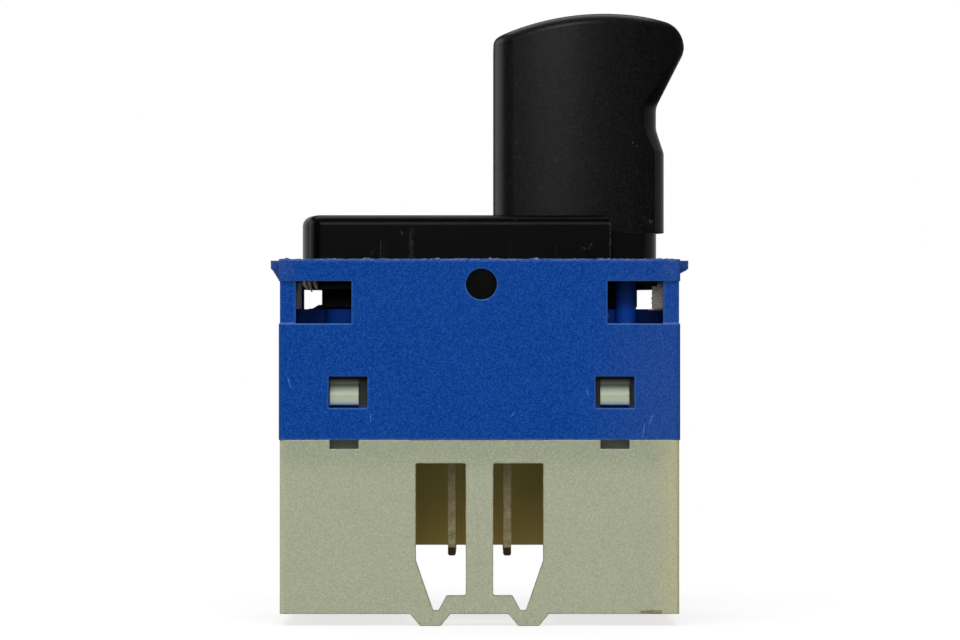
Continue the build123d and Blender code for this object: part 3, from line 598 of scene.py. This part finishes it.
def tower_and_hooks(finish, place, pale, above):
    """What stands above the parting line, in painted light: a tower painted in shadow, and on it the
    hooks, painted lighter.

    The tower is painted darkest beside the hooks and over them, the hooks' heads get painted shade,
    and under the hooks the tower and their lower ends take a painted reflection of the blue sill.
    """
    x, y, z = finish.axes(place)
    tower = 1 - y.size().rise(*TOWER_Y)
    beside = 1 - x.size().within(*HOOK_X, 0.2)
    # painted shade on the tower wall, darkest beside the hooks and over them, with a painted reflection
    # of the blue sill under them
    wall = finish.blend(beside * 0.9, linear(150, 156, 138), linear(52, 50, 47))
    wall = finish.blend(z.rise(hook_high - 0.05, hook_high + 0.6), wall, linear(10, 10, 14))
    wall = finish.blend(1 - z.rise(hook_low - 0.15, hook_low + 0.05), wall, linear(52, 84, 146))
    pale = finish.blend(above * tower * 0.95, pale, wall)
    hook = above * (1 - tower)
    # painted light on the hooks: painted lighter, with painted shade on their heads and a painted
    # reflection of the blue sill on their lower ends
    painted_head_shade = hook * z.rise(hook_high - 0.4, hook_high + 0.1)
    sill_reflection_end = hook * (1 - z.rise(hook_low - 0.05, hook_low + 0.5))
    pale = finish.blend(hook * 0.7, pale, linear(178, 188, 166))
    pale = finish.blend(painted_head_shade * 0.3, pale, linear(140, 148, 130))
    return finish.blend(sill_reflection_end * 0.8, pale, linear(92, 124, 176))


print("tower ends at y", TOWER_Y[0], "socket at x", SOCKET_X[0], "y", SOCKET_Y[0])


# %% Pale plastic
def pale_plastic():
    """The pale body with its socket and tower, its pale edges, and on top of them stains, grime, specks
    and the painted shade along the socket's edges.
    """
    material, finish, place = start_finish("pale_plastic")
    x, y, z = finish.axes(place)
    soft, edge = rounded_edge(finish, 0.2)
    mottle = finish.clouds(place, 0.35, 3.0, 0.7)
    above = z.rise(*seam_z)
    pale = warm_brown_socket(finish, place, clean_pale(finish, place, mottle))
    pale = tower_and_hooks(finish, place, pale, above)
    colour = finish.blend(edge * (1 - above) * 0.3, pale, linear(184, 186, 163))

    specks = finish.clouds(place, 0.22, 1.0).rise(0.75, 0.80)
    low_edge = 1 - z.rise(low_edge_z, low_edge_z + 0.5)
    grime = low_edge * finish.clouds(place, 0.5, 3.0, 0.7).rise(0.5, 0.75)
    smear = finish.clouds(place, (0.7, 0.7, 0.12), 2.0, 0.6).rise(0.3, 0.55)
    spot = x.within(*STAIN_X, 0.3) * z.within(low_edge_z, low_edge_z + 0.32, 0.12)
    stain = spot * smear * (1 - y.rise(*MARKS_END_Y))
    blotches = finish.clouds(place, 1.0, 2.0).rise(0.3, 0.55)
    # painted shade: dark brown lines along the socket's edges, where the wall's thickness shows in shadow
    socket_edge_shade = edge * (1 - x.size().rise(*SOCKET_EDGE_X)) * (1 - above) * blotches
    dirt_and_edge_shade = (stain * 0.75).larger(grime * 0.4).larger(specks * 0.3).larger(socket_edge_shade * 0.75)
    colour = finish.blend(dirt_and_edge_shade, colour, linear(104, 86, 56))
    rough = 0.5 + mottle * 0.15 + dirt_and_edge_shade * 0.15
    return coat(finish, material, colour, rough, grain(finish, place, 0.18, 0.005, soft), shine=0.2)


finishes["pale_housing"] = pale_plastic()

# %% [markdown]
# ## The black rocker and knob
# Rocker and knob are both black, but the knob has a fine matt grain for the finger, while the skirt
# is smoother and has been scuffed by the frame: faint upright scratches, a wide dull smear, and one
# small curved scuff. One flat black would look like a hole in the picture. What the eye reads is how
# the light breaks up on it, so both get specks, grain and marks from one function.

# %% Marks on the black parts
RUB_MARKS = (  # on the rocker: start and end (x, z) in mm, width in mm, strength
    ((-9.95, 37.0), (-9.9, 38.6), 0.12, 0.30),
    ((-9.6, 36.9), (-9.6, 38.3), 0.10, 0.16),
    ((-10.9, 37.2), (-10.6, 37.6), 0.16, 0.30),
    ((-6.85, 37.0), (-6.8, 39.5), 0.50, 0.13),
    ((-7.85, 39.5), (-7.7, 39.2), 0.16, 0.35),
    ((3.1, 37.0), (3.1, 38.4), 0.10, 0.12),
    ((7.65, 36.9), (7.65, 38.4), 0.10, 0.14),
    ((10.3, 38.0), (10.6, 37.75), 0.16, 0.32),
    ((10.6, 37.75), (11.0, 37.8), 0.16, 0.32),
    ((11.0, 37.8), (11.25, 38.25), 0.16, 0.26),
    ((13.15, 37.0), (13.15, 40.2), 0.22, 0.30),
)
KNOB_MARKS = (  # on the knob, in the same order
    ((17.15, 40.75), (17.3, 40.45), 0.10, 0.8),
    ((17.5, 40.65), (17.5, 40.35), 0.08, 0.8),
    ((3.66, 48.45), (3.78, 48.6), 0.14, 0.35),
)
print("marks on the rocker", len(RUB_MARKS), "and on the knob", len(KNOB_MARKS))


# %% Black plastic
def black_plastic(name, dark, light, speck, roughness, grain_depth, shine, rub_marks):
    """Black with light specks, a few dust specks, rub marks, and edges that are faintly pale."""
    material, finish, place = start_finish(name)
    soft, edge = rounded_edge(finish, 0.12)
    mottle = finish.clouds(place, 0.3, 3.0, 0.7)
    black = finish.blend(mottle.rise(0.25, 0.75), dark, light)
    black = speckle(finish, place, black, linear(1, 1, 1), speck, 0.6)
    marks = finish.clouds(place, 0.2, 1.0).rise(0.77, 0.8) * 0.16
    for start, end, width, strength in rub_marks:
        rub = scratch(finish, place, start, end, width) * mottle.rise(0.35, 0.65)
        marks = marks.larger(rub * strength * 0.45)
    colour = finish.blend(marks, black, linear(150, 148, 142))
    colour = finish.blend(edge * mottle.rise(0.3, 0.7) * 0.06, colour, linear(150, 150, 146))
    rough = roughness + mottle * 0.08 + marks * 0.3
    normal = grain(finish, place, 0.16, grain_depth, soft)
    return coat(finish, material, colour, rough, normal, shine=shine)


finishes["black_rocker"] = black_plastic(
    "black_rocker_plastic", linear(1, 1, 1), linear(3, 3, 3), linear(14, 14, 13),
    roughness=0.26, grain_depth=0.002, shine=0.2, rub_marks=RUB_MARKS,
)
finishes["black_knob"] = black_plastic(
    "black_knob_plastic", linear(8, 8, 8), linear(15, 15, 15), linear(36, 36, 36),
    roughness=0.31, grain_depth=0.006, shine=0.5, rub_marks=KNOB_MARKS,
)

# %% [markdown]
# ## Metals and the plungers
# The contact strips are brass that has dulled, the springs are drawn steel, and the plungers are
# natural, undyed plastic, mostly darkened in brown clouds. The blades' ends are painted dark as
# painted shade, with a painted highlight along their edges, and the blades are painted lighter higher
# up as painted light. Brass could be a full metal, but in the socket it would only mirror the dark
# room. Dull brass is mostly its own tarnish, so it is a fifth metal here.

# %% Natural plastic
def natural_plastic():
    """Undyed plastic, cloudy and mostly darkened in brown clouds."""
    material, finish, place = start_finish("natural_plastic")
    soft = rounded_edge(finish, 0.08)[0]
    cloud = finish.clouds(place, 1.2, 2.0)
    colour = finish.blend(cloud, linear(206, 198, 176), linear(190, 182, 158))
    brown_clouds = finish.clouds(place, (0.25, 0.25, 0.9), 3.0, 0.7)
    colour = finish.blend(brown_clouds.rise(0.3, 0.6) * 0.85, colour, linear(56, 48, 34))
    rough = 0.35 + cloud * 0.1
    return coat(finish, material, colour, rough, grain(finish, place, 0.15, 0.002, soft))


finishes["natural_plunger"] = natural_plastic()

# %% Brass, steel and contact alloy
TIP_RISE = (0.75, 0.95)  # the painted shade at the blades' ends stops here, measured up from the end
DEEP_Z = (8.0, 15.0)  # painted light: the blades are painted darker below these heights and lighter above


def strip_metal(name, pale, dark, metallic, roughness, specks=0.0):
    """Drawn metal: tarnish goes from pale to dark, the top is painted lighter than the lower end as
    painted light, and the blade's end gets painted shade with a painted highlight on its edges.
    """
    material, finish, place = start_finish(name)
    z = finish.axes(place)[2]
    soft, edge = rounded_edge(finish, 0.08)
    tarnish = finish.clouds(place, 0.8, 3.0, 0.65)
    drawn = finish.clouds(place, (0.08, 0.08, 3.0), 2.0)
    # painted light: darker low down, lighter higher up
    shaded_low = finish.blend(0.35, dark, linear(60, 52, 34))
    colour = finish.blend(tarnish.rise(0.3, 0.75), pale, finish.blend(z.rise(*DEEP_Z), shaded_low, dark))
    if specks:
        colour = speckle(finish, place, colour, linear(140, 128, 92), linear(216, 204, 164), specks, 0.14)
    # painted shade on the blades' ends, and a painted highlight along their edges
    shaded_tip = 1 - z.rise(blade_tip_z + TIP_RISE[0], blade_tip_z + TIP_RISE[1])
    colour = finish.blend(shaded_tip * 0.95, colour, linear(28, 22, 14))
    colour = finish.blend(shaded_tip * edge * 0.8, colour, linear(200, 186, 96))
    rough = roughness + drawn * 0.15 + shaded_tip * 0.2
    sockets = {"Height": drawn, "Distance": 0.004 * MM, "Strength": 1.0, "Normal": soft}
    normal = finish.node("ShaderNodeBump", None, sockets)
    return coat(finish, material, colour, rough, normal, metallic=metallic)


finishes["spring_steel"] = strip_metal(
    "spring_steel_wire", linear(170, 170, 172), linear(120, 120, 124), metallic=1.0, roughness=0.25
)
finishes["brass_strip"] = strip_metal(
    "dull_brass", linear(182, 168, 125), linear(158, 147, 110), metallic=0.2, roughness=0.4, specks=0.5
)
finishes["contact_metal"] = strip_metal(
    "contact_alloy", linear(205, 198, 185), linear(160, 150, 130), metallic=0.9, roughness=0.25
)

# %% [markdown]
# ## Dressing the nodes
# Every CAD node names a slot, such as `brass_strip`. Each slot has one material, so the brass
# strips, for example, share theirs. A material could be given to each node by hand, but the slots
# are in the CAD model's record, so a loop can't forget one. The pieces that are added further down
# use the same slots.

# %% Give every CAD node its material
for part in frame["record"]["subparts"]:
    mesh = frame["nodes"][part["node"]].data
    mesh.materials.clear()
    mesh.materials.append(finishes[part["material_slot"]])

# %% [markdown]
# ## Flash, burrs and frayed edges
# Where two halves of a mould meet, plastic creeps into the gap and leaves a thin ragged web, called
# flash. The corner windows of the frame still carry some, and the rim's outer edge has frayed into
# tiny whiskers. CAD would draw such a shape badly, as it has no straight line in it, and a sculpting
# brush would leave a different one each time. Here each is one closed solid through a row of outlines
# that are worked out as arrays, so that a single function serves them all: only the outlines differ.

# %% A solid through a row of outlines
def solid_through(name, outlines, body, slot):
    """A closed solid through a row of outlines that all have the same number of points.

    Side face (i, j) joins points j and j + 1 of outline i to the same points of outline i + 1. The
    first and the last outline close the ends. Outlines run anticlockwise seen from the row's end.
    """
    count, points = outlines.shape[:2]
    row = np.arange(count - 1)[:, None] * points
    here = np.arange(points)[None, :]
    there = (here + 1) % points
    sides = np.stack([row + here, row + there, row + points + there, row + points + here], axis=-1)
    ends = [list(range(points))[::-1], list(range((count - 1) * points, count * points))]
    mesh = bpy.data.meshes.new(name)
    mesh.from_pydata((outlines.reshape(-1, 3) * MM).tolist(), [], sides.reshape(-1, 4).tolist() + ends)
    mesh.materials.append(finishes[slot])
    piece = bpy.data.objects.new(name, mesh)
    bpy.context.scene.collection.objects.link(piece)
    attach(piece, body)
    print(name, len(mesh.polygons), "faces")


def ragged(rng, count, smooth):
    """A row of count random heights from 0 to 1, averaged over smooth neighbours."""
    rough = rng.random(count + smooth - 1)
    level = np.convolve(rough, np.ones(smooth) / smooth, mode="valid")
    return (level - level.min()) / (level.max() - level.min())


rng = np.random.default_rng(7)
print("the random rows start from the same seed on every run")

# %% [markdown]
# A web is a row of rectangles. The webs on the sills stand in the far wall and rise and fall along
# x, with a ragged upper edge. The one in the right window hangs on the near wall's jamb and is
# ragged along its upright edge, so its rectangles lie flat and are stacked up z.

# %% Webs of flash in the corner windows
SILL, HEAD, LEDGE = rim_z - 6.45, rim_z - 2.2, rim_z - 5.0  # the windows, and the ledge behind them
ROOT = 0.05  # how far a piece's root sinks into the frame, mm
WEB_DEPTH = (1.4, 1.2)  # a sill's web, from the far face into the wall, mm
TORN_DEPTH = (1.32, 1.6)  # the torn web, from the near face through the wall, mm
LONG_X, SHORT_X = (-18.5, -12.7), (12.7, 14.2)  # where the two sills' webs begin and end, mm
LONG_STEPS_X, LONG_STEPS = (-18.5, -17.85, -16.35, -12.7), (0.0, 0.04, 0.58, 0.9)  # over the ledge
SHORT_STEP = 0.5  # the short web, over the ledge, mm
TORN_X, TORN_RISE = (17.28, 18.62), (0.02, 2.3)  # the torn web, and its heights over the ledge, mm


def web_outlines(x, high):
    """Upright rectangles across a row of x, from under the sill to high, in the far wall."""
    low = np.full(len(x), SILL - ROOT)
    near, far = far_y - WEB_DEPTH[0], far_y - WEB_DEPTH[1]
    y = np.array([near, far, far, near]) + np.zeros((len(x), 4))
    z = np.stack([low, low, high, high], axis=-1)
    return np.stack([np.repeat(x[:, None], 4, axis=1), y, z], axis=-1)


def jamb_outlines(z, left):
    """Level rectangles up a row of z, from left in x to the jamb, through the near wall in y."""
    right = np.full(len(z), TORN_X[1])
    near, far = near_y + TORN_DEPTH[0], near_y + TORN_DEPTH[1]
    x = np.stack([left, right, right, left], axis=-1)
    y = np.array([near, near, far, far]) + np.zeros((len(z), 4))
    return np.stack([x, y, np.repeat(z[:, None], 4, axis=1)], axis=-1)


sill_x = np.linspace(*LONG_X, 58)
sill_high = LEDGE + np.interp(sill_x, LONG_STEPS_X, LONG_STEPS)
sill_high = sill_high + 0.16 * (ragged(rng, len(sill_x), 3) - 0.5)
solid_through("sill_flash", web_outlines(sill_x, sill_high), "housing", "blue_housing")

short_x = np.linspace(*SHORT_X, 16)
short_high = LEDGE + SHORT_STEP + 0.2 * ragged(rng, len(short_x), 3)
solid_through("short_sill_flash", web_outlines(short_x, short_high), "housing", "blue_housing")

# the torn web lies on the jamb that the blue material paints with a grey painted reflection
torn_z = np.linspace(LEDGE + TORN_RISE[0], LEDGE + TORN_RISE[1], 40)
torn_left = TORN_X[0] + 0.1 * (ragged(rng, len(torn_z), 3) - 0.5)
solid_through("torn_web", jamb_outlines(torn_z, torn_left), "housing", "blue_housing")

# %% [markdown]
# Three strings of plastic hang from the head of the left corner window, of the kind that is drawn
# out where plastic is torn while it is soft. A curve with a bevel could make one, but rings that are
# worked out as an array go through the same function as the webs, and each ring can have its own
# radius. The row of rings sways sideways as it falls, by the square of how far it has fallen, and is
# thickest a third of the way down. The strings take the undyed plastic of the plungers, darkened in
# brown clouds, whose look comes closest.

# %% Strings of plastic
def string_outlines(centres, radii, first, second, sides=7):
    """Rings round a row of centres.

    Point j of a ring stands at centre + radius (cos a first + sin a second), where a is j turns
    over the number of sides.
    """
    turn = np.linspace(0, 2 * np.pi, sides, endpoint=False)[:, None]
    ring = np.cos(turn) * first + np.sin(turn) * second
    return centres[:, None, :] + radii[:, None, None] * ring


east, north, up = np.eye(3)
STRINGS = ((-17.65, 0.9, 0.45), (-17.1, 1.15, 0.3), (-16.55, 0.95, 0.3))  # x, reach and sway, mm

THINNEST, SWELL = 0.03, 0.2  # a string's least radius, and what a stretch of a sine adds, mm
STRING_DEPTH = 1.5  # from the near face to the strings, mm

drop = np.linspace(0, 1, 14)
drop_size = THINNEST + SWELL * np.sin(np.pi * (0.3 + 0.66 * drop))
string_y = np.full(len(drop), near_y + STRING_DEPTH)
for number, (x, reach, sway) in enumerate(STRINGS):
    centres = np.stack([x + sway * drop**2, string_y, HEAD + ROOT - reach * drop], axis=1)
    rings = string_outlines(centres, drop_size, north, east)
    solid_through(f"head_string_{number + 1}", rings, "housing", "natural_plunger")

# %% [markdown]
# The rim's near edge has frayed where the panel rubs it. Hair particles could stand for the
# whiskers, but each would be a loose open surface. One long thread stays one closed solid. Its
# radius is the product of a slow and a quick ragged row, so the fraying comes in patches, and its
# middle rises with its radius, so the thick places stand up from the rim.

# %% The frayed rim
RIM_POINTS = 700
RIM_HALF_LENGTH = 19.9  # mm
THREAD_RADIUS, FRAY_RADIUS = 0.01, 0.22  # the thread's own radius, and what fraying adds, mm
THREAD_INSET, THREAD_DROP, THREAD_LIFT = 0.3, 0.015, 0.4  # from the near face, under the rim, rise

rim_x = np.linspace(-RIM_HALF_LENGTH, RIM_HALF_LENGTH, RIM_POINTS)
fraying = ragged(rng, RIM_POINTS, 25) * ragged(rng, RIM_POINTS, 6) ** 2
radii = THREAD_RADIUS + FRAY_RADIUS * fraying
rim_y = np.full(RIM_POINTS, near_y + THREAD_INSET)
centres = np.stack([rim_x, rim_y, rim_z - THREAD_DROP + THREAD_LIFT * radii], axis=1)
thread = string_outlines(centres, radii, north, up, 6)
solid_through("near_rim_fray", thread, "housing", "blue_housing")

# %% [markdown]
